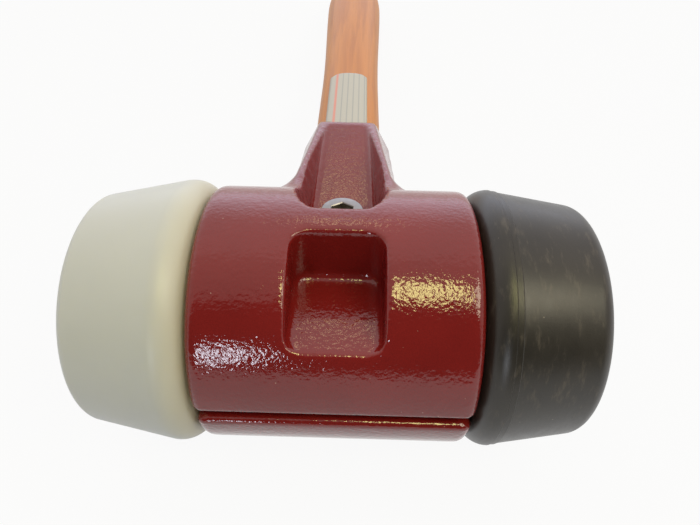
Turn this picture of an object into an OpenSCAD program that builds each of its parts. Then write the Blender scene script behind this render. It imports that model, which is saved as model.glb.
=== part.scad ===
// Soft face hammer: a split cast housing clamps a plastic insert, a rubber insert and an ash handle.
// The head axis runs along X, the handle along Y, and the clamp screw along Z through both halves.

/* [Striking inserts] */
// Diameter of both striking faces
face_d = 80; // [74:1:84]
// Diameter of the plastic insert beside the housing
plastic_base_d = 90.5; // [86:0.5:94]
// Diameter of the rubber insert over its raised shoulder
rubber_base_d = 88.6; // [87:0.2:93]
// Distance from one striking face to the other
head_length = 161.5; // [140:0.5:190]
// Rounding around the plastic face
plastic_edge = 3.7; // [1:0.1:6]
// Rounding around the rubber face
rubber_edge = 5.4; // [1:0.1:7]
// Rounding of the plastic insert beside the housing
plastic_base_round = 8; // [3:0.5:10]
// Rounding of the rubber insert beside the housing
rubber_base_round = 7.5; // [3:0.5:10]
// Width of the flat band beside that rounding
band_width = 2.2; // [1:0.2:4]
// Height of the step from the band down to the tapered side
band_step = 0.6; // [0.3:0.1:1.2]
// Diameter of the stem that the housing grips
stem_d = 44; // [36:1:48]
// Depth of the stem inside the housing
stem_depth = 24; // [18:0.5:25]
// Diameter of the collar that keeps the stem in
collar_d = 51; // [48:0.5:58]
// Width of that collar
collar_width = 6; // [4:0.5:8]

/* [Housing barrel] */
// Diameter of the barrel
barrel_d = 87; // [84:0.5:92]
// Length of the barrel
barrel_length = 85; // [80:1:100]
// Rounding of the barrel's ends
barrel_edge = 3; // [1:0.5:5]
// Gap that stays open between the clamped halves
split_gap = 4; // [2:0.2:5]
// Rounding of the halves along the gap
lip_round = 1.6; // [0.8:0.2:3]
// Rounding of each half where the gap meets the barrel's ends
end_round = 4; // [1:0.5:6]

/* [Window recess] */
// Width of the recess along the barrel
window_width = 28; // [20:1:32]
// Distance from the head axis to the recess wall
window_wall = 6.3; // [5:0.1:10]
// Height of the recess floor above the split plane
window_floor = 23.4; // [22:0.2:30]
// Corner radius of the recess
window_corner = 5.5; // [3:0.5:8]
// Rounding where the recess floor meets its wall
window_fillet = 2.2; // [1:0.1:2.8]

/* [Neck] */
// Distance from the head axis to the mouth of the neck
neck_reach = 105; // [95:1:125]
// Width of the neck's flat top at the mouth
mouth_top_w = 26; // [22:0.2:30]
// Width of the neck at the split, at the mouth
mouth_split_w = 42.5; // [40:0.5:48]
// Height of the neck above the split plane at the mouth
mouth_height = 17.5; // [16.5:0.1:20]
// Width of the neck's top where it leaves the barrel
root_top_w = 38; // [34:0.5:42]
// Width of the neck at the split where it leaves the barrel
root_split_w = 51; // [46:0.5:56]
// Height of the neck where it leaves the barrel
root_height = 27; // [25:0.2:29]
// Rounding of the neck's long edges
neck_round = 2.4; // [1:0.1:3]
// Rounding of the neck's mouth
mouth_round = 1.6; // [0.8:0.1:2.5]
// Radius of the flare between the neck's flanks and the barrel
flare_radius = 13; // [10:0.5:18]
// Radius of the flare between the neck's top and the barrel
crown_flare_radius = 30; // [14:1:34]

/* [Screw pocket] */
// Distance from the head axis to the front lip of the pocket
pocket_lip = 3.4; // [2:0.1:6]
// Height of the screw seat above the split plane
seat_height = 12; // [10.5:0.1:13]
// Width of the pocket floor at the screw
seat_width = 25; // [22:0.5:27]
// Width of the pocket floor at the mouth
floor_mouth_w = 19.4; // [16:0.2:21]
// Distance from the head axis to the end of the pocket
pocket_reach = 101; // [88:1:103]
// Rounding where the pocket floor meets its walls
pocket_fillet = 2; // [0.5:0.1:3]

/* [Clamp screw] */
// Thread diameter
screw_d = 10; // [8:0.5:10]
// Length under the head
screw_length = 30; // [27:1:34]
// Diameter of the head
screw_head_d = 16; // [14:0.5:17]
// Height of the head
screw_head_h = 10; // [8:0.5:11]
// Width across the flats of the key socket
key_flats = 8; // [6:0.5:8]
// Depth of the key socket
key_depth = 5; // [4:0.5:6]
// Distance from the head axis to the screw axis
screw_offset = 30.3; // [29:0.1:32]
// Width of the nut across its flats
nut_flats = 17; // [15:0.5:18]
// Thickness of the nut
nut_height = 8; // [6:0.5:8]
// Height of the nut seat, measured from the split plane
nut_seat = 8; // [6:0.5:9]

/* [Handle] */
// Distance from the head axis to the butt of the handle
handle_reach = 346; // [300:1:420]
// Width of the handle at the mouth of the neck
grip_width = 33; // [30:0.5:34]
// Thickness of the handle at the mouth of the neck
grip_thickness = 26; // [24:0.5:26.4]
// Width at the swell near the butt
swell_width = 39.8; // [34:0.2:44]
// Thickness at the swell near the butt
swell_thickness = 31; // [28:0.5:36]
// Length of the rounded butt
butt_length = 18; // [12:1:26]
// Width of the tang at its inner end
tang_width = 28; // [24:0.5:30]
// Thickness of the tang at its inner end
tang_thickness = 17; // [14:0.5:17]
// Distance from the head axis to the inner end of the tang
tang_start = 46; // [44:0.5:56]

/* [Hidden] */

// Clearance of the stems and the tang in the housing
clamp_clear = 0.25;
// Gap between an insert and the end of the barrel
seat_gap = 0.3;
// Clearance of the screw in its bores and of the nut in its well
screw_clear = 0.5;
nut_clear = 0.2;
thread_clear = 0.15;
// Chamfers of small edges
stem_chamfer = 1;
screw_chamfer = 1;
// Overrun of every cut past the surface that it opens
over = 2;

barrel_r = barrel_d / 2;
barrel_half = barrel_length / 2;
face_reach = head_length / 2;
split = split_gap / 2;
rest_r = max(plastic_base_d, rubber_base_d, barrel_d) / 2;
middle_y = (handle_reach - rest_r) / 2;
pocket_top = barrel_r + over;
seat_front = screw_offset - screw_head_d / 2 - over;
seat_back = screw_offset + screw_head_d / 2 + over;

// Depth below the barrel's surface at which the flare ends, so that the two solids overlap
flare_sink = 0.3;
// Slope of the pocket walls at the lip, at the back of the seat and from the middle of the neck
lip_slope_share = 0.1;
seat_slope_share = 0.2;
mouth_slope_share = 0.36;
slope_middle_share = 0.4;
// Roundness of the pocket's front and of the handle's oval
lip_power = 3.5;
oval_power = 2.3;
// Where the handle starts and stops to swell, from the mouth to the butt
swell_start_share = 0.27;
swell_stop_share = 0.9;
// Where the flank's points lie between the split and the rounded top edge
flank_shares = [0.35, 0.7];

// Where the rings of the pocket's front lie between the lip and the screw seat
front_shares = [0.02, 0.06, 0.14, 0.26, 0.42, 0.6, 0.8, 1];

// Points of arcs and bends, rings of the lofts, and sides of the round forms
arc_steps = 6;
bend_steps = 4;
flare_steps = 8;
shaft_steps = 4;
seat_steps = 3;
slope_steps = 8;
grip_steps = 12;
oval_sides = 36;
round_sides = 96;
corner_sides = 32;
// Angles around the rounded mouth and the rounded butt at which they have a ring
mouth_angles = [30, 60, 90];
butt_angles = [12, 24, 36, 48, 60, 72, 84];
butt_end_angle = 87;

function mix(a, b, t) = a + (b - a) * t;
function limit(t) = min(1, max(0, t));
function ease(t) = limit(t) * limit(t) * (3 - 2 * limit(t));
function arc(centre, r, from, to) =
    [for (i = [0:arc_steps]) let (a = mix(from, to, i / arc_steps)) centre + r * [cos(a), sin(a)]];
function mirrored(points) = [for (i = [len(points) - 1:-1:0]) [-points[i][0], points[i][1]]];
function ring(points, y) = [for (p = points) [p[0], y, p[1]]];

// Solid through rings of equal length that follow each other along Y
module loft(rings) {
    count = len(rings[0]);
    last = (len(rings) - 1) * count;
    sides = [
        for (j = [0:len(rings) - 2], i = [0:count - 1])
            let (a = j * count + i, b = j * count + (i + 1) % count)
                each [[a, b, b + count], [a, b + count, a + count]]
    ];
    front = [for (i = [count - 1:-1:0]) i];
    back = [for (i = [0:count - 1]) last + i];
    polyhedron(points = [for (r = rings) each r], faces = concat([front], sides, [back]));
}

// Turned solid about X from a profile of [radius, distance along X]
module turned(profile) {
    rotate([0, 90, 0]) rotate_extrude($fn = round_sides) polygon(profile);
}

// Moves the part so that it lies on the ground, centred
module place() {
    translate([0, -middle_y, rest_r]) children();
}

// The neck's outline at one distance from the head axis

function neck_part(y) = (y - barrel_r) / (neck_reach - barrel_r);
function neck_top(y) = mix(root_height, mouth_height, neck_part(y));
function barrel_surface(z) = sqrt(max(0, barrel_r * barrel_r - z * z));

// Right half of the outline from the split to the top, as pairs of a point and its outward direction
function neck_half(y, inset) =
    let (
        foot = mix(root_split_w, mouth_split_w, neck_part(y)) / 2 - inset,
        top = mix(root_top_w, mouth_top_w, neck_part(y)) / 2 - inset,
        height = neck_top(y) - inset,
        lean = atan((foot - top) / (height - split)),
        centre = [top - neck_round * tan((90 - lean) / 2), height - neck_round],
        side = [cos(lean), sin(lean)],
        start = centre + neck_round * side
    )
    concat(
        [[[foot, split], [1, 0]]],
        [for (share = flank_shares) [mix([foot, split], start, share), side]],
        [for (n = arc([0, 0], 1, lean, 90)) [centre + neck_round * n, n]]
    );

function neck_ring(y, inset) =
    let (half = [for (p = neck_half(y, inset)) p[0]]) ring(concat(half, mirrored(half)), y);

// The flare is the path of a ball that rolls along the corner between neck and barrel and grows towards the top
function ball_radius(outward) = mix(flare_radius, crown_flare_radius, outward[1] * outward[1]);
function ball_distance(i, y) =
    let (
        p = neck_half(y, 0)[i],
        r = ball_radius(p[1]),
        centre_z = p[0][1] + r * p[1][1],
        reach = barrel_r - flare_sink + r
    )
    sqrt(reach * reach - centre_z * centre_z);

// Point of the flare between the neck, at 0, and the barrel, at 1
function flare_point(i, share) =
    let (
        y = ball_distance(i, ball_distance(i, barrel_r)),
        p = neck_half(y, 0)[i],
        r = ball_radius(p[1]),
        outward = [p[1][0], 0, p[1][1]],
        ball = [p[0][0], y, p[0][1]] + r * outward,
        inward = -[0, ball[1], ball[2]] / norm([ball[1], ball[2]]),
        turn = acos(-outward * inward),
        direction = sin(share * turn) * inward - sin((1 - share) * turn) * outward,
        point = ball + r * direction / sin(turn)
    )
    [point[0], point[1], max(split, point[2])];

function flare_ring(share) =
    let (half = [for (i = [0:len(neck_half(barrel_r, 0)) - 1]) flare_point(i, share)])
        concat(half, [for (i = [len(half) - 1:-1:0]) [-half[i][0], half[i][1], half[i][2]]]);

// Solid neck of the upper half, from inside the barrel to its rounded mouth
module neck_solid() {
    flared = barrel_r + flare_radius;
    shaft = neck_reach - mouth_round;
    root_ring = [for (p = flare_ring(1)) [p[0], barrel_r / 2, p[2]]];
    flare_rings = [for (i = [flare_steps:-1:0]) flare_ring(i / flare_steps)];
    shaft_rings = [for (i = [1:shaft_steps]) neck_ring(mix(flared, shaft, i / shaft_steps), 0)];
    mouth_rings = [
        for (a = mouth_angles)
            neck_ring(shaft + mouth_round * sin(a), mouth_round * (1 - cos(a)))
    ];
    loft(concat([root_ring], flare_rings, shaft_rings, mouth_rings));
}

// The screw pocket: a steep front below the lip, a flat seat, then a floor that rises to the mouth

function floor_height(y) =
    y < seat_front
        ? mix(pocket_top, seat_height, (y - pocket_lip) / (seat_front - pocket_lip))
        : y < seat_back
            ? seat_height
            : mix(seat_height, neck_top(pocket_reach), (y - seat_back) / (pocket_reach - seat_back));

function floor_width(y) =
    y < seat_front
        ? seat_width * pow(1 - pow(1 - (y - pocket_lip) / (seat_front - pocket_lip), lip_power), 1 / lip_power)
        : mix(seat_width, floor_mouth_w, limit((y - seat_back) / (pocket_reach - seat_back)));

function wall_slope(y) =
    let (middle = mix(seat_back, pocket_reach, slope_middle_share))
        y < seat_back
            ? mix(lip_slope_share, seat_slope_share, limit((y - seat_front) / (seat_back - seat_front)))
            : mix(seat_slope_share, mouth_slope_share, limit((y - seat_back) / (middle - seat_back)));

function pocket_ring(y) =
    let (
        half = floor_width(y) / 2,
        floor_z = floor_height(y),
        slope = wall_slope(y),
        fillet = min(pocket_fillet, half / 2),
        brim = pocket_top + over,
        foot = [half, floor_z],
        wall = [half + fillet * slope, floor_z + fillet],
        flat = [half - fillet, floor_z],
        bend = [for (i = [0:bend_steps]) let (t = i / bend_steps) mix(mix(flat, foot, t), mix(foot, wall, t), t)],
        side = concat(bend, [[half + (brim - floor_z) * slope, brim]])
    )
    ring(concat(side, mirrored(side)), y);

module screw_pocket() {
    front = [for (t = front_shares) pocket_ring(mix(pocket_lip, seat_front, t))];
    seat = [for (i = [1:seat_steps]) pocket_ring(mix(seat_front, seat_back, i / seat_steps))];
    slope = [for (i = [1:slope_steps]) pocket_ring(mix(seat_back, neck_reach + over, i / slope_steps))];
    loft(concat(front, seat, slope));
}

// The handle's oval sections

function oval(width, thickness) =
    [
        for (i = [0:oval_sides - 1])
            let (a = 360 * i / oval_sides, c = cos(a), s = sin(a))
                [
                    sign(c) * width / 2 * pow(abs(c), 2 / oval_power),
                    sign(s) * thickness / 2 * pow(abs(s), 2 / oval_power)
                ]
    ];

function tang_part(y) = (y - tang_start) / (neck_reach - tang_start);
function swell_part(y) =
    let (t = (y - neck_reach) / (handle_reach - neck_reach))
        ease((t - swell_start_share) / (swell_stop_share - swell_start_share));
function grip_size(y) =
    y < neck_reach
        ? mix([tang_width, tang_thickness], [grip_width, grip_thickness], tang_part(y))
        : mix([grip_width, grip_thickness], [swell_width, swell_thickness], swell_part(y));
function grip_ring(y, grow, share) =
    let (size = (grip_size(y) + [grow, grow]) * share) ring(oval(size[0], size[1]), y);

// Space for the tang between the two halves
module tang_socket() {
    start = tang_start - clamp_clear;
    loft([grip_ring(start, 2 * clamp_clear, 1), grip_ring(neck_reach + over, 2 * clamp_clear, 1)]);
}

// The stem's profile, grown by a clearance, up to a distance along the head axis
function stem_outline(grow, reach) =
    let (
        start = barrel_half - stem_depth,
        r = stem_d / 2 + grow,
        collar_r = collar_d / 2 + grow,
        collar_end = start + collar_width
    )
    [
        [0, start - grow],
        [collar_r - stem_chamfer, start - grow],
        [collar_r, start - grow + stem_chamfer],
        [collar_r, collar_end + grow - stem_chamfer],
        [collar_r - stem_chamfer, collar_end + grow],
        [r, collar_end + grow],
        [r, reach]
    ];

module stem_space() {
    turned(concat(stem_outline(clamp_clear, barrel_half + over), [[0, barrel_half + over]]));
}

module barrel() {
    rotate([0, 90, 0]) rotate_extrude($fn = round_sides) {
        translate([0, -barrel_half]) square([barrel_r - barrel_edge, barrel_length]);
        translate([0, barrel_edge - barrel_half]) square([barrel_r, barrel_length - 2 * barrel_edge]);
        for (end = [-1, 1])
            translate([barrel_r - barrel_edge, end * (barrel_half - barrel_edge)]) circle(barrel_edge);
    }
}

// Everything above the split
module upper_space() {
    size = 2 * (neck_reach + over);
    translate([-size / 2, -size / 2, split]) cube([size, size, barrel_d]);
}

// Rounds the lip of the half along the open gap on the crown
module lip_relief() {
    centre_z = split + lip_round;
    centre_y = sqrt(pow(barrel_r - lip_round, 2) - centre_z * centre_z);
    touch = [centre_y, centre_z] * barrel_r / (barrel_r - lip_round);
    far = barrel_r + over;
    rotate([90, 0, -90]) linear_extrude(barrel_length + over, center = true) difference() {
        polygon([[centre_y, split - over], [far, split - over], [far, touch[1]], touch, [centre_y, centre_z]]);
        translate([centre_y, centre_z]) circle(lip_round, $fn = corner_sides);
    }
}

// Rounds one half where its split face meets the end of the barrel
module end_relief() {
    corner = [barrel_half - end_round, split + end_round];
    rotate([90, 0, 0]) linear_extrude(barrel_d + over, center = true) difference() {
        translate([corner[0], split - over]) square([end_round + over, end_round + over]);
        translate(corner) circle(end_round, $fn = corner_sides);
    }
}

// Recess in the crown: straight walls and a flat floor that runs out at the front
module window_recess() {
    wall_y = -window_wall - window_corner;
    runout_y = window_corner - barrel_surface(window_floor) - window_fillet / 2;
    hull() for (x = [-1, 1], y = [wall_y, runout_y])
        translate([x * (window_width / 2 - window_corner), y, 0])
            rotate_extrude($fn = corner_sides)
                polygon(concat(
                    [[0, window_floor]],
                    arc(
                        [window_corner - window_fillet, window_floor + window_fillet], window_fillet, -90, 0
                    ),
                    [[window_corner, barrel_r + over], [0, barrel_r + over]]
                ));
}

module screw_bore() {
    translate([0, screw_offset, 0]) cylinder(d = screw_d + 2 * screw_clear, h = barrel_d, center = true);
}

// One half of the housing, above the split
module half_shell() {
    difference() {
        union() {
            intersection() {
                barrel();
                upper_space();
            }
            neck_solid();
        }
        screw_pocket();
        window_recess();
        stem_space();
        mirror([1, 0, 0]) stem_space();
        tang_socket();
        screw_bore();
        lip_relief();
        end_relief();
        mirror([1, 0, 0]) end_relief();
    }
}

module upper_shell() {
    color("firebrick") place() half_shell();
}

module lower_shell() {
    well_d = (nut_flats + 2 * nut_clear) / cos(30);
    color("firebrick") place() mirror([0, 0, 1]) difference() {
        half_shell();
        translate([0, screw_offset, nut_seat]) cylinder(d = well_d, h = seat_height, $fn = 6);
    }
}

module plastic_insert() {
    base = barrel_half + seat_gap;
    base_r = plastic_base_d / 2;
    face_r = face_d / 2;
    lean = atan((base_r - face_r) / (face_reach - base));
    base_centre = [base_r - plastic_base_round, base + plastic_base_round];
    face_centre = [face_r - plastic_edge, face_reach - plastic_edge];
    color("ivory") place() mirror([1, 0, 0]) turned(concat(
        stem_outline(0, base),
        arc(base_centre, plastic_base_round, -90, 0),
        arc(face_centre, plastic_edge, lean, 90),
        [[0, face_reach]]
    ));
}

module rubber_insert() {
    base = barrel_half + seat_gap;
    base_r = rubber_base_d / 2;
    face_r = face_d / 2;
    crest = base + rubber_base_round;
    band_end = crest + band_width;
    side_r = base_r - band_step;
    lean = atan((side_r - face_r) / (face_reach - band_end));
    face_centre = [face_r - rubber_edge, face_reach - rubber_edge];
    color("dimgray") place() turned(concat(
        stem_outline(0, base),
        arc([base_r - rubber_base_round, crest], rubber_base_round, -90, 0),
        [[base_r - band_step / 2, crest + band_step / 2], [base_r - band_step / 2, band_end - band_step / 2]],
        [[side_r, band_end]],
        arc(face_centre, rubber_edge, lean, 90),
        [[0, face_reach]]
    ));
}

module handle() {
    butt = handle_reach - butt_length;
    tang_rings = [grip_ring(tang_start, 0, 1), grip_ring(neck_reach, 0, 1)];
    grip_rings = [for (i = [1:grip_steps]) grip_ring(mix(neck_reach, butt, i / grip_steps), 0, 1)];
    butt_rings = [for (a = butt_angles) grip_ring(butt + butt_length * sin(a), 0, cos(a))];
    butt_end = [grip_ring(handle_reach, 0, cos(butt_end_angle))];
    color("peru") place() loft(concat(tang_rings, grip_rings, butt_rings, butt_end));
}

module clamp_screw() {
    head_r = screw_head_d / 2;
    tip_r = screw_d / 2 - screw_chamfer;
    top = screw_head_h;
    color("lightslategray") place() translate([0, screw_offset, seat_height]) difference() {
        rotate_extrude($fn = round_sides) polygon([
            [0, -screw_length],
            [tip_r, -screw_length],
            [screw_d / 2, screw_chamfer - screw_length],
            [screw_d / 2, 0],
            [head_r, 0],
            [head_r, top - screw_chamfer],
            [head_r - screw_chamfer, top],
            [0, top]
        ]);
        translate([0, 0, top - key_depth]) cylinder(d = key_flats / cos(30), h = key_depth + over, $fn = 6);
    }
}

module clamp_nut() {
    corner_d = nut_flats / cos(30);
    low_r = nut_flats / 2;
    high_r = corner_d / 2;
    rim = (high_r - low_r) * tan(30);
    color("lightslategray") place() translate([0, screw_offset, -nut_seat - nut_height]) difference() {
        intersection() {
            cylinder(d = corner_d, h = nut_height, $fn = 6);
            rotate_extrude($fn = round_sides) polygon([
                [0, 0],
                [low_r, 0],
                [high_r, rim],
                [high_r, nut_height - rim],
                [low_r, nut_height],
                [0, nut_height]
            ]);
        }
        cylinder(d = screw_d + 2 * thread_clear, h = 3 * nut_height, center = true);
    }
}

upper_shell();
lower_shell();
plastic_insert();
rubber_insert();
handle();
clamp_screw();
clamp_nut();
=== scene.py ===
import math

import bmesh
import bpy
from mathutils import Matrix, Vector


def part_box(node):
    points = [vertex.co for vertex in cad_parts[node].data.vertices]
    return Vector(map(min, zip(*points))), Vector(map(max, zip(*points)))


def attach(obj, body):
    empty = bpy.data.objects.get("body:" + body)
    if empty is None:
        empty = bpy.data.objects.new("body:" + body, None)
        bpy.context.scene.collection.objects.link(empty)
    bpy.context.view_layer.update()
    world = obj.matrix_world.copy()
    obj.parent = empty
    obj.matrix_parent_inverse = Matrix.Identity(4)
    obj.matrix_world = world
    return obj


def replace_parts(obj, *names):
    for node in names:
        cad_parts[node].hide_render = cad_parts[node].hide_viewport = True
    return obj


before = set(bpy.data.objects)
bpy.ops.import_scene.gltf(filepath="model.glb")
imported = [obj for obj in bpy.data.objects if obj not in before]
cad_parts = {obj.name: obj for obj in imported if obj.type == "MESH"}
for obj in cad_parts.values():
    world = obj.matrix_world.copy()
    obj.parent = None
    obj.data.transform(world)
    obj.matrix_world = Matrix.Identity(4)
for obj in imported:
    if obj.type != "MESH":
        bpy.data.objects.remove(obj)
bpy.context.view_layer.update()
scene = bpy.context.scene
MM = 0.001

# Middle of the head, where the head axis crosses the handle's plane
plastic_low, plastic_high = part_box("plastic_insert")
HEAD = Vector((0, (plastic_low.y + plastic_high.y) / 2, (plastic_low.z + plastic_high.z) / 2))
RIM_RADIUS = (plastic_high.z - plastic_low.z) / 2

# Handle, measured from the head axis
TANG_START = 46 * MM
NECK_MOUTH = 105 * MM
HANDLE_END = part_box("handle")[1].y - HEAD.y
BUTT_TAPER_START = 300 * MM
BUTT_TAPER_LENGTH = 73.7 * MM
BUTT_ROUND = 8 * MM
TANG_SIZE = Vector((28, 17)) * MM
GRIP_SIZE = Vector((33, 26)) * MM
SWELL_SIZE = Vector((39.8, 31)) * MM
SWELL_START, SWELL_STOP = 0.27, 0.9
OVAL_POWER = 2.3
HANDLE_SIDES = 96
HANDLE_RINGS = 110
BUTT_RINGS = 12
BUTT_CLOSE = 0.02

# Write-on sticker on the handle
STICKER_START = 106 * MM
STICKER_END = 168 * MM
STICKER_HALF_WIDTH = 10.4 * MM
STICKER_SHIFT = -0.8 * MM
STICKER_LIFT = 0.06 * MM
STICKER_THICKNESS = 0.12 * MM
STICKER_CORNER = 3 * MM
STICKER_ROWS, STICKER_COLUMNS = 40, 20
RULE_SPACING = 3 * MM
FIRST_RULE = STICKER_SHIFT - 3 * MM
MARGIN_X = STICKER_SHIFT - 6.4 * MM

# Clamp screw
SCREW_AXIS_Y = (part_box("clamp_screw")[0].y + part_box("clamp_screw")[1].y) / 2
SCREW_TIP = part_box("clamp_screw")[0].z
SCREW_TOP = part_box("clamp_screw")[1].z
SCREW_HEAD_RADIUS = 8 * MM
SCREW_HEAD_HEIGHT = 10 * MM
SCREW_CHAMFER = 0.8 * MM
KEY_FLATS = 8 * MM
KEY_DEPTH = 5 * MM
KEY_POINT = 1.2 * MM
KEY_CHAMFER = 0.3 * MM
HEAD_FOOT_CHAMFER = 0.4 * MM
HEAD_EASE = 0.02 * MM
THREAD_RADIUS = 5 * MM
THREAD_PITCH = 1.5 * MM
THREAD_DEPTH = 0.55 * MM
THREAD_START = 0.5 * MM
THREAD_STEPS = 8
TIP_CHAMFER = 1 * MM
KNURL_COUNT = 40
KNURL_DEPTH = 0.22 * MM
SCREW_SIDES = 240

# Striking inserts, measured along the head axis from its middle
FACE_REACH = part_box("rubber_insert")[1].x
STEM_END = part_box("rubber_insert")[0].x
SEAT = 42.8 * MM
FACE_RADIUS = 40 * MM
STEM_RADIUS = 22 * MM
COLLAR_RADIUS = 25.5 * MM
COLLAR_WIDTH = 6 * MM
COLLAR_CHAMFER = 1 * MM
AXIS_GAP = 0.2 * MM
RUBBER_RADIUS = (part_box("rubber_insert")[1].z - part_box("rubber_insert")[0].z) / 2
PLASTIC_BASE_ROUND = 8 * MM
PLASTIC_EDGE = 3.7 * MM
RUBBER_BASE_ROUND = 7.5 * MM
RUBBER_EDGE = 5.4 * MM
BAND_WIDTH = 2.2 * MM
BAND_STEP = 0.6 * MM
INSERT_SIDES = 160

# Casting
CAST_VOXEL = 0.8 * MM
CAST_SMOOTHING = 8

# Camera, placed from the middle of the head
CAMERA_PLACE = Vector((4.699, -122.387, 142.426)) * MM
CAMERA_YAW = math.radians(-0.51)
CAMERA_PITCH = math.radians(44.01)
CAMERA_ROLL = math.radians(1.21)
FOCAL_PIXELS = 520
IMAGE_WIDTH = 700
SENSOR_WIDTH = 36
FLOOR_HALF = 3


# Node sheets
class Wire:
    """One output socket of a node sheet. Arithmetic on it adds Math nodes."""

    def __init__(self, sheet, socket):
        self.sheet = sheet
        self.socket = socket

    def __add__(self, other):
        return self.sheet.math("ADD", self, other)

    def __sub__(self, other):
        return self.sheet.math("SUBTRACT", self, other)

    def __rsub__(self, other):
        return self.sheet.math("SUBTRACT", other, self)

    def __mul__(self, other):
        return self.sheet.math("MULTIPLY", self, other)

    __radd__ = __add__
    __rmul__ = __mul__


class Sheet:
    """The nodes of one material or of the world."""

    def __init__(self, owner):
        owner.use_nodes = True
        self.tree = owner.node_tree
        self.tree.nodes.clear()

    def add(self, kind, settings=None, values=None, out=0):
        """A new node: its settings first, then a value or a wire for each named or numbered socket."""
        node = self.tree.nodes.new(kind)
        for name, setting in (settings or {}).items():
            if name == "stops":
                self._set_stops(node.color_ramp, setting)
            else:
                setattr(node, name, setting)
        for name, value in (values or {}).items():
            if isinstance(value, Wire):
                self.tree.links.new(value.socket, node.inputs[name])
            else:
                node.inputs[name].default_value = value
        return Wire(self, node.outputs[out]) if node.outputs else node

    @staticmethod
    def _set_stops(ramp, stops):
        while len(ramp.elements) < len(stops):
            ramp.elements.new(1)
        for element, (place, colour) in zip(ramp.elements, stops):
            element.position = place
            element.color = (*colour, 1)

    def math(self, operation, a, b):
        return self.add("ShaderNodeMath", {"operation": operation}, {0: a, 1: b})

    def step(self, wire, low, high):
        """0 below low, 1 above high, smooth between."""
        values = {"Value": wire, "From Min": low, "From Max": high}
        return self.add("ShaderNodeMapRange", {"interpolation_type": "SMOOTHSTEP"}, values)

    def mix(self, a, b, share):
        """Colour a where share is 0, colour b where it is 1."""
        a, b = (c if isinstance(c, Wire) else (*c, 1) for c in (a, b))
        return self.add("ShaderNodeMix", {"data_type": "RGBA"}, {0: share, 6: a, 7: b}, out=2)

    def place_mm(self, stretch=(1, 1, 1)):
        """The point on the piece in millimetres, stretched."""
        point = self.add("ShaderNodeTexCoord", out="Object")
        return self.add(
            "ShaderNodeVectorMath", {"operation": "MULTIPLY"}, {0: point, 1: [s / MM for s in stretch]}
        )

    def axis(self, point, letter):
        return self.add("ShaderNodeSeparateXYZ", values={0: point}, out=letter)

    def noise(self, point, scale, detail=2, roughness=0.5, distortion=0):
        values = {"Vector": point, "Scale": scale, "Detail": detail, "Roughness": roughness, "Distortion": distortion}
        return self.add("ShaderNodeTexNoise", values=values)

    def specks(self, point, scale, size):
        """Round specks, one at most in each cell, 1 inside and 0 outside."""
        distance = self.add("ShaderNodeTexVoronoi", values={"Vector": point, "Scale": scale})
        return 1 - self.step(distance, size * 0.6, size)

    def bump(self, height, depth):
        return self.add("ShaderNodeBump", values={"Height": height, "Strength": 1, "Distance": depth})


def finish(name, make):
    """A material whose surface comes from make, which gets its node sheet and returns the shader's values."""
    material = bpy.data.materials.new(name)
    sheet = Sheet(material)
    surface = sheet.add("ShaderNodeBsdfPrincipled", values=make(sheet))
    sheet.add("ShaderNodeOutputMaterial", values={"Surface": surface})
    return material


# Finishes
def burgundy_paint(sheet):
    point = sheet.place_mm()
    cloud = sheet.noise(point, 0.05, 3)
    peel = sheet.noise(point, 0.42, 2)
    grain = sheet.noise(point, 0.9, 2)
    dust = sheet.specks(point, 0.2, 0.04)
    colour = sheet.mix((0.14, 0.008, 0.0075), (0.2, 0.0125, 0.011), cloud)
    colour = sheet.mix(colour, (0.5, 0.36, 0.3), dust * 0.6)
    return {
        "Base Color": colour,
        "Roughness": 0.05 + grain * 0.08,
        "IOR": 1.56,
        "Normal": sheet.bump(peel * 0.5 + grain * 0.5, 0.22 * MM),
    }


def ivory_plastic(sheet):
    point = sheet.place_mm()
    cloud = sheet.noise(point, 0.04, 3)
    haze = sheet.noise(point, 0.6, 3)
    # Painted warm reflection: the plastic is tinted yellowish towards the housing, standing in for lamp and housing
    # light reflected there.
    warm_reflection_near_housing = sheet.step(sheet.axis(point, "X"), -54, -43)
    colour = sheet.mix((0.47, 0.49, 0.475), (0.52, 0.535, 0.515), cloud)
    colour = sheet.mix(colour, (0.55, 0.5, 0.35), warm_reflection_near_housing * 0.55)
    return {
        "Base Color": colour,
        "Roughness": 0.34 + haze * 0.08,
        "IOR": 1.49,
        "Subsurface Weight": 0.25,
        "Subsurface Radius": (1, 0.9, 0.6),
        "Subsurface Scale": 3 * MM,
        "Normal": sheet.bump(haze, 0.006 * MM),
    }


def black_rubber(sheet):
    point = sheet.place_mm()
    cloud = sheet.noise(point, 0.08, 3)
    skin = sheet.noise(point, 2.2, 3, 0.6)
    scuff = sheet.noise(sheet.place_mm((1, 0.3, 0.3)), 0.5, 4, 0.65)
    dust = sheet.specks(point, 0.24, 0.045)
    colour = sheet.mix((0.013, 0.0115, 0.0095), (0.032, 0.0275, 0.022), cloud)
    colour = sheet.mix(colour, (0.075, 0.063, 0.05), sheet.step(scuff, 0.52, 0.75) * 0.7)
    colour = sheet.mix(colour, (0.36, 0.31, 0.24), dust * 0.7)
    return {
        "Base Color": colour,
        "Roughness": 0.2 + skin * 0.1 + scuff * 0.2,
        "IOR": 1.5,
        "Normal": sheet.bump(skin * 0.6 + scuff * 0.4, 0.03 * MM),
    }


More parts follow.
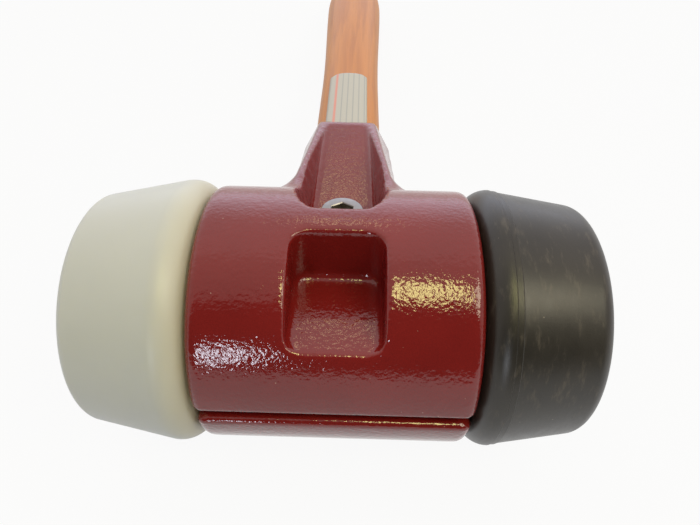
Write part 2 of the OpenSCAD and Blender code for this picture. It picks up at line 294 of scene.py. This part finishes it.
def ash_wood(sheet):
    along = sheet.place_mm((1, 0.035, 1))
    fine = sheet.place_mm((1, 0.012, 1))
    rings = sheet.noise(along, 0.24, 3, 0.55, 0.6)
    fibres = sheet.noise(fine, 2.4, 4, 0.6)
    pores = sheet.step(sheet.noise(fine, 3.6, 2), 0.6, 0.72)
    colour = sheet.mix((0.56, 0.205, 0.014), (0.44, 0.145, 0.006), sheet.step(rings, 0.35, 0.68))
    colour = sheet.mix(colour, (0.42, 0.14, 0.018), fibres * 0.3)
    colour = sheet.mix(colour, (0.3, 0.09, 0.015), pores * 0.3)
    return {
        "Base Color": colour,
        "Roughness": 0.32 + fibres * 0.14,
        "IOR": 1.34,
        "Coat Weight": 0.05,
        "Coat Roughness": 0.12,
        "Normal": sheet.bump(1 - pores * 0.7 - fibres * 0.2, 0.02 * MM),
    }


def zinc_steel(sheet):
    point = sheet.place_mm()
    cloud = sheet.noise(point, 0.5, 3)
    brushed = sheet.noise(point, 4, 2)
    return {
        "Base Color": sheet.mix((0.2, 0.19, 0.18), (0.32, 0.3, 0.29), cloud),
        "Metallic": 1,
        "Roughness": 0.26 + brushed * 0.16,
        "Normal": sheet.bump(brushed, 0.006 * MM),
    }


def sticker_paper(sheet):
    point = sheet.place_mm()
    fibre = sheet.noise(point, 1.4, 3)
    across = sheet.axis(point, "X")
    row = sheet.math("PINGPONG", across - FIRST_RULE / MM, RULE_SPACING / MM / 2)
    ruled_part = sheet.step(across, FIRST_RULE / MM - 0.6, FIRST_RULE / MM - 0.5)
    rules = (1 - sheet.step(row, 0.16, 0.4)) * ruled_part
    margin = 1 - sheet.step(sheet.math("ABSOLUTE", across - MARGIN_X / MM, 0), 0.5, 0.8)
    colour = sheet.mix((0.42, 0.405, 0.36), (0.47, 0.455, 0.41), fibre)
    colour = sheet.mix(colour, (0.25, 0.26, 0.27), rules * 0.6)
    colour = sheet.mix(colour, (0.7, 0.2, 0.14), margin * 0.75)
    return {
        "Base Color": colour,
        "Roughness": 0.42 + fibre * 0.1,
        "Normal": sheet.bump(fibre, 0.008 * MM),
    }


PAINT = finish("burgundy_paint", burgundy_paint)
IVORY = finish("ivory_plastic", ivory_plastic)
RUBBER = finish("black_rubber", black_rubber)
WOOD = finish("ash_wood", ash_wood)
STEEL = finish("zinc_steel", zinc_steel)
PAPER = finish("sticker_paper", sticker_paper)


# Making pieces
def new_piece(name, mesh, body, material):
    """An object on a body with one finish."""
    piece = bpy.data.objects.new(name, mesh)
    scene.collection.objects.link(piece)
    mesh.materials.clear()
    mesh.materials.append(material)
    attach(piece, body)
    return piece


def lofted_mesh(name, rings, sharp=math.radians(40)):
    """Skin over rings of equal count, closed at both ends."""
    count = len(rings[0])
    sides = [
        (j * count + i, j * count + (i + 1) % count, (j + 1) * count + (i + 1) % count, (j + 1) * count + i)
        for j in range(len(rings) - 1)
        for i in range(count)
    ]
    last = (len(rings) - 1) * count
    ends = [tuple(reversed(range(count))), tuple(range(last, last + count))]
    mesh = bpy.data.meshes.new(name)
    mesh.from_pydata([p for ring in rings for p in ring], [], sides + ends)
    mesh.polygons.foreach_set("use_smooth", [True] * len(mesh.polygons))
    mesh.set_sharp_from_angle(angle=sharp)
    mesh.validate()
    return mesh


def applied(piece):
    """Turns the piece's modifiers into its own mesh."""
    graph = bpy.context.evaluated_depsgraph_get()
    mesh = bpy.data.meshes.new_from_object(piece.evaluated_get(graph))
    piece.modifiers.clear()
    piece.data = mesh


def cast_half(node, body):
    """A half of the housing with the soft edges of a painted casting."""
    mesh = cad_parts[node].data.copy()
    welded = bmesh.new()
    welded.from_mesh(mesh)
    bmesh.ops.remove_doubles(welded, verts=welded.verts, dist=0.001 * MM)
    welded.to_mesh(mesh)
    welded.free()
    piece = new_piece(node + "_casting", mesh, body, PAINT)
    voxels = piece.modifiers.new("even_skin", "REMESH")
    voxels.mode = "VOXEL"
    voxels.voxel_size = CAST_VOXEL
    voxels.use_smooth_shade = True
    soften = piece.modifiers.new("soft_edges", "SMOOTH")
    soften.factor = 0.5
    soften.iterations = CAST_SMOOTHING
    applied(piece)
    piece.data.materials.clear()
    piece.data.materials.append(PAINT)
    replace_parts(piece, node)


# Handle
def eased(t):
    t = min(1, max(0, t))
    return t * t * (3 - 2 * t)


def handle_size(y):
    """Width and thickness of the handle at a distance from the head axis."""
    if y < NECK_MOUTH:
        return TANG_SIZE.lerp(GRIP_SIZE, (y - TANG_START) / (NECK_MOUTH - TANG_START))
    t = (y - NECK_MOUTH) / (HANDLE_END - NECK_MOUTH)
    size = GRIP_SIZE.lerp(SWELL_SIZE, eased((t - SWELL_START) / (SWELL_STOP - SWELL_START)))
    taper = max(0, y - BUTT_TAPER_START) / BUTT_TAPER_LENGTH
    return size * math.sqrt(1 - taper * taper)


def handle_ring(y, share=1):
    """The handle's oval outline."""
    half = handle_size(y) * share / 2
    ring = []
    for i in range(HANDLE_SIDES):
        angle = 2 * math.pi * i / HANDLE_SIDES
        c, s = math.cos(angle), math.sin(angle)
        x = math.copysign(half.x * abs(c) ** (2 / OVAL_POWER), c)
        z = math.copysign(half.y * abs(s) ** (2 / OVAL_POWER), s)
        ring.append(HEAD + Vector((x, y, z)))
    return ring


def make_handle():
    butt = HANDLE_END - BUTT_ROUND
    rings = [handle_ring(TANG_START + (butt - TANG_START) * i / HANDLE_RINGS) for i in range(HANDLE_RINGS + 1)]
    inset = 2 * BUTT_ROUND / handle_size(butt).x
    for i in range(1, BUTT_RINGS + 1):
        angle = math.pi / 2 * i / BUTT_RINGS
        rings.append(handle_ring(butt + BUTT_ROUND * math.sin(angle), 1 - inset * (1 - math.cos(angle))))
    rings.append(handle_ring(HANDLE_END, BUTT_CLOSE))
    mesh = lofted_mesh("handle_wood", [list(reversed(ring)) for ring in rings])
    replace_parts(new_piece("handle_wood", mesh, "base", WOOD), "handle")


def make_sticker():
    """A sheet on the handle's top that follows its crown, with rounded corners."""
    rows, columns = STICKER_ROWS, STICKER_COLUMNS
    verts, faces = [], []
    for j in range(rows + 1):
        y = STICKER_START + (STICKER_END - STICKER_START) * j / rows
        to_end = min(y - STICKER_START, STICKER_END - y)
        cut = STICKER_CORNER - math.sqrt(max(0, STICKER_CORNER**2 - max(0, STICKER_CORNER - to_end) ** 2))
        half = STICKER_HALF_WIDTH - cut
        size = handle_size(y) / 2
        for i in range(columns + 1):
            x = STICKER_SHIFT + half * (2 * i / columns - 1)
            z = size.y * (1 - abs(x / size.x) ** OVAL_POWER) ** (1 / OVAL_POWER) + STICKER_LIFT
            verts.append(HEAD + Vector((x, y, z)))
    across = columns + 1
    for j in range(rows):
        for i in range(columns):
            a = j * across + i
            faces.append((a, a + 1, a + across + 1, a + across))
    mesh = bpy.data.meshes.new("sticker")
    mesh.from_pydata(verts, [], faces)
    mesh.polygons.foreach_set("use_smooth", [True] * len(mesh.polygons))
    piece = new_piece("sticker", mesh, "base", PAPER)
    thick = piece.modifiers.new("thickness", "SOLIDIFY")
    thick.thickness = STICKER_THICKNESS
    thick.offset = 1
    applied(piece)


# Striking inserts
def arc_points(radius, along, r, start, stop, count=14):
    """Points of an arc in a profile of radius and distance along the head axis, in degrees."""
    angles = [math.radians(start + (stop - start) * i / count) for i in range(count + 1)]
    return [(radius + r * math.cos(a), along + r * math.sin(a)) for a in angles]


def stem_profile():
    collar_end = STEM_END + COLLAR_WIDTH
    return [
        (AXIS_GAP, STEM_END),
        (COLLAR_RADIUS - COLLAR_CHAMFER, STEM_END),
        (COLLAR_RADIUS, STEM_END + COLLAR_CHAMFER),
        (COLLAR_RADIUS, collar_end - COLLAR_CHAMFER),
        (COLLAR_RADIUS - COLLAR_CHAMFER, collar_end),
        (STEM_RADIUS, collar_end),
        (STEM_RADIUS, SEAT),
    ]


def plastic_profile():
    lean = math.degrees(math.atan2(RIM_RADIUS - FACE_RADIUS, FACE_REACH - SEAT))
    base = arc_points(RIM_RADIUS - PLASTIC_BASE_ROUND, SEAT + PLASTIC_BASE_ROUND, PLASTIC_BASE_ROUND, -90, lean)
    face = arc_points(FACE_RADIUS - PLASTIC_EDGE, FACE_REACH - PLASTIC_EDGE, PLASTIC_EDGE, lean, 90)
    return stem_profile() + base + face + [(AXIS_GAP, FACE_REACH)]


def rubber_profile():
    crest = SEAT + RUBBER_BASE_ROUND
    band_end = crest + BAND_WIDTH
    side = RUBBER_RADIUS - BAND_STEP
    ridge = RUBBER_RADIUS - BAND_STEP / 2
    lean = math.degrees(math.atan2(side - FACE_RADIUS, FACE_REACH - band_end))
    base = arc_points(RUBBER_RADIUS - RUBBER_BASE_ROUND, crest, RUBBER_BASE_ROUND, -90, 0)
    band = [(ridge, crest + BAND_STEP / 2), (ridge, band_end - BAND_STEP / 2), (side, band_end)]
    face = arc_points(FACE_RADIUS - RUBBER_EDGE, FACE_REACH - RUBBER_EDGE, RUBBER_EDGE, lean, 90)
    return stem_profile() + base + band + face + [(AXIS_GAP, FACE_REACH)]


def make_insert(node, profile, side, material):
    """An insert turned about the head axis; side is 1 towards the rubber face and -1 towards the plastic one."""
    rings = []
    for radius, along in profile:
        ring = []
        for i in range(INSERT_SIDES):
            angle = -side * 2 * math.pi * i / INSERT_SIDES
            ring.append(HEAD + Vector((side * along, radius * math.cos(angle), radius * math.sin(angle))))
        rings.append(ring)
    mesh = lofted_mesh(node + "_moulding", [list(reversed(ring)) for ring in rings], math.radians(34))
    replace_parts(new_piece(node + "_moulding", mesh, "base", material), node)


# Clamp screw
def round_ring(radius, z, wave=None):
    """A ring about the screw's axis; wave gives the radius to add at each angle."""
    ring = []
    for i in range(SCREW_SIDES):
        angle = 2 * math.pi * i / SCREW_SIDES
        r = radius + (wave(angle, z) if wave else 0)
        ring.append(Vector((r * math.cos(angle), SCREW_AXIS_Y + r * math.sin(angle), z)))
    return ring


def hexagon(angle, _):
    """How far a hexagon's side lies outside its inner circle."""
    sixth = math.pi / 3
    return KEY_FLATS / 2 * (1 / math.cos((angle + sixth / 2) % sixth - sixth / 2) - 1)


def knurl(angle, _):
    return -KNURL_DEPTH * (0.5 + 0.5 * math.cos(KNURL_COUNT * angle)) ** 2


def thread(angle, z):
    turn = ((z - SCREW_TIP) / THREAD_PITCH - angle / (2 * math.pi)) % 1
    return -THREAD_DEPTH * (1 - abs(2 * turn - 1))


def make_screw():
    seat = SCREW_TOP - SCREW_HEAD_HEIGHT
    floor = SCREW_TOP - KEY_DEPTH
    flat = KEY_FLATS / 2
    rings = [
        round_ring(flat * 0.04, floor - KEY_POINT),
        round_ring(flat * 0.96, floor),
        round_ring(flat, floor, hexagon),
        round_ring(flat, SCREW_TOP - KEY_CHAMFER, hexagon),
        round_ring(flat + KEY_CHAMFER, SCREW_TOP, hexagon),
        round_ring(SCREW_HEAD_RADIUS - SCREW_CHAMFER, SCREW_TOP),
        round_ring(SCREW_HEAD_RADIUS - SCREW_CHAMFER * 0.3, SCREW_TOP - SCREW_CHAMFER * 0.3),
        round_ring(SCREW_HEAD_RADIUS - HEAD_EASE, SCREW_TOP - SCREW_CHAMFER, knurl),
        round_ring(SCREW_HEAD_RADIUS - HEAD_EASE, seat + HEAD_FOOT_CHAMFER, knurl),
        round_ring(SCREW_HEAD_RADIUS - HEAD_FOOT_CHAMFER, seat),
        round_ring(THREAD_RADIUS, seat),
    ]
    steps = round((seat - SCREW_TIP) / THREAD_PITCH * THREAD_STEPS)
    shank = seat - SCREW_TIP - THREAD_START - TIP_CHAMFER
    for i in range(steps + 1):
        z = seat - THREAD_START - shank * i / steps
        rings.append(round_ring(THREAD_RADIUS, z, thread))
    rings.append(round_ring(THREAD_RADIUS - TIP_CHAMFER, SCREW_TIP))
    mesh = lofted_mesh("clamp_screw_steel", rings, math.radians(32))
    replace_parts(new_piece("clamp_screw_steel", mesh, "screw", STEEL), "clamp_screw")


for half, body in (("upper_shell", "cover"), ("lower_shell", "base")):
    cast_half(half, body)
make_handle()
make_sticker()
make_screw()
make_insert("plastic_insert", plastic_profile(), -1, IVORY)
make_insert("rubber_insert", rubber_profile(), 1, RUBBER)
for nut_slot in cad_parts["clamp_nut"].material_slots:
    nut_slot.material = STEEL


# Camera
def aim_camera():
    forward = Vector(
        (
            math.sin(CAMERA_YAW) * math.cos(CAMERA_PITCH),
            math.cos(CAMERA_YAW) * math.cos(CAMERA_PITCH),
            -math.sin(CAMERA_PITCH),
        )
    )
    level = Vector((math.cos(CAMERA_YAW), -math.sin(CAMERA_YAW), 0))
    upright = level.cross(forward)
    right = level * math.cos(CAMERA_ROLL) + upright * math.sin(CAMERA_ROLL)
    up = upright * math.cos(CAMERA_ROLL) - level * math.sin(CAMERA_ROLL)
    camera = bpy.data.objects.new("camera", bpy.data.cameras.new("camera"))
    scene.collection.objects.link(camera)
    turn = Matrix((right, up, -forward)).transposed().to_4x4()
    camera.matrix_world = Matrix.Translation(HEAD + CAMERA_PLACE) @ turn
    camera.data.sensor_width = SENSOR_WIDTH
    camera.data.lens = FOCAL_PIXELS / IMAGE_WIDTH * SENSOR_WIDTH
    camera.data.clip_start = 5 * MM
    camera.data.clip_end = 20
    scene.camera = camera


# Floor that the rims and the butt of the handle rest on
def resting_tilt():
    """Slope of a floor that touches the inserts' rims and the handle."""
    slopes = []
    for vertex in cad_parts["handle"].data.vertices:
        reach = vertex.co - HEAD
        if reach.y > NECK_MOUTH:
            distance = math.hypot(reach.y, reach.z)
            slopes.append(math.atan2(reach.z, reach.y) + math.asin(RIM_RADIUS / distance))
    return min(slopes)


def pale_floor(sheet):
    camera = sheet.add("ShaderNodeLightPath", out="Is Camera Ray")
    mirror = sheet.add("ShaderNodeLightPath", out="Is Glossy Ray")
    glass = sheet.add("ShaderNodeLightPath", out="Is Transmission Ray")
    lit = sheet.add("ShaderNodeBsdfDiffuse", values={"Color": (0.5, 0.5, 0.5, 1)})
    glow = sheet.add("ShaderNodeEmission", values={"Color": (1, 1, 1, 1), "Strength": 1})
    return sheet.add("ShaderNodeMixShader", values={0: (camera + mirror + glass) * 0.93, 1: lit, 2: glow})


def make_floor():
    tilt = resting_tilt()
    mesh = bpy.data.meshes.new("floor")
    corners = [(x * FLOOR_HALF, y * FLOOR_HALF, 0) for x, y in ((-1, -1), (1, -1), (1, 1), (-1, 1))]
    mesh.from_pydata(corners, [], [(0, 1, 2, 3)])
    floor = bpy.data.objects.new("floor", mesh)
    scene.collection.objects.link(floor)
    lean = Matrix.Rotation(tilt, 4, "X")
    floor.matrix_world = Matrix.Translation(HEAD) @ lean @ Matrix.Translation((0, 0, -RIM_RADIUS))
    material = bpy.data.materials.new("pale_floor")
    sheet = Sheet(material)
    sheet.add("ShaderNodeOutputMaterial", values={"Surface": pale_floor(sheet)})
    mesh.materials.append(material)


# Studio light
def make_world():
    world = bpy.data.worlds.new("studio")
    scene.world = world
    sheet = Sheet(world)
    direction = sheet.add("ShaderNodeTexCoord", out="Generated")
    away = sheet.axis(direction, "Y")
    stops = [
        (0.0, (0.05, 0.05, 0.05)),
        (0.2, (0.06, 0.06, 0.06)),
        (0.24, (0.58, 0.54, 0.51)),
        (0.53, (0.8, 0.75, 0.71)),
        (0.57, (1.02, 0.95, 0.92)),
        (0.85, (1.0, 0.96, 0.97)),
        (0.95, (1.5, 1.55, 1.75)),
        (1.0, (1.6, 1.65, 1.9)),
    ]
    studio = sheet.add("ShaderNodeValToRGB", {"stops": stops}, {0: away * 0.5 + 0.5})
    camera = sheet.add("ShaderNodeLightPath", out="Is Camera Ray")
    colour = sheet.mix(studio, (1, 1, 1), camera)
    light = sheet.add("ShaderNodeBackground", values={"Color": colour, "Strength": 1.12})
    sheet.add("ShaderNodeOutputWorld", values={"Surface": light})


def soft_lamp(name, place, width, depth, watts, colour):
    """A rectangular lamp that faces the head."""
    lamp = bpy.data.lights.new(name, "AREA")
    lamp.shape = "RECTANGLE"
    lamp.size = width
    lamp.size_y = depth
    lamp.energy = watts
    lamp.color = colour
    piece = bpy.data.objects.new(name, lamp)
    scene.collection.objects.link(piece)
    place = HEAD + Vector(place)
    piece.location = place
    piece.rotation_euler = (HEAD - place).to_track_quat("-Z", "Y").to_euler()


aim_camera()
make_floor()
make_world()
soft_lamp("warm_panel", (0.16, -0.43, 1.0), 0.2, 0.3, 2.4, (1, 0.95, 0.36))
soft_lamp("side_panel", (0.62, -0.4, 0.85), 0.45, 0.4, 3.4, (1, 0.92, 0.66))
soft_lamp("back_panel", (-0.03, 0.79, 0.9), 0.14, 0.05, 0.14, (1, 0.8, 0.4))
soft_lamp("cool_window", (-0.36, -1.25, 0.2), 0.14, 0.3, 2.2, (0.82, 0.88, 1))

scene.view_settings.view_transform = "Standard"
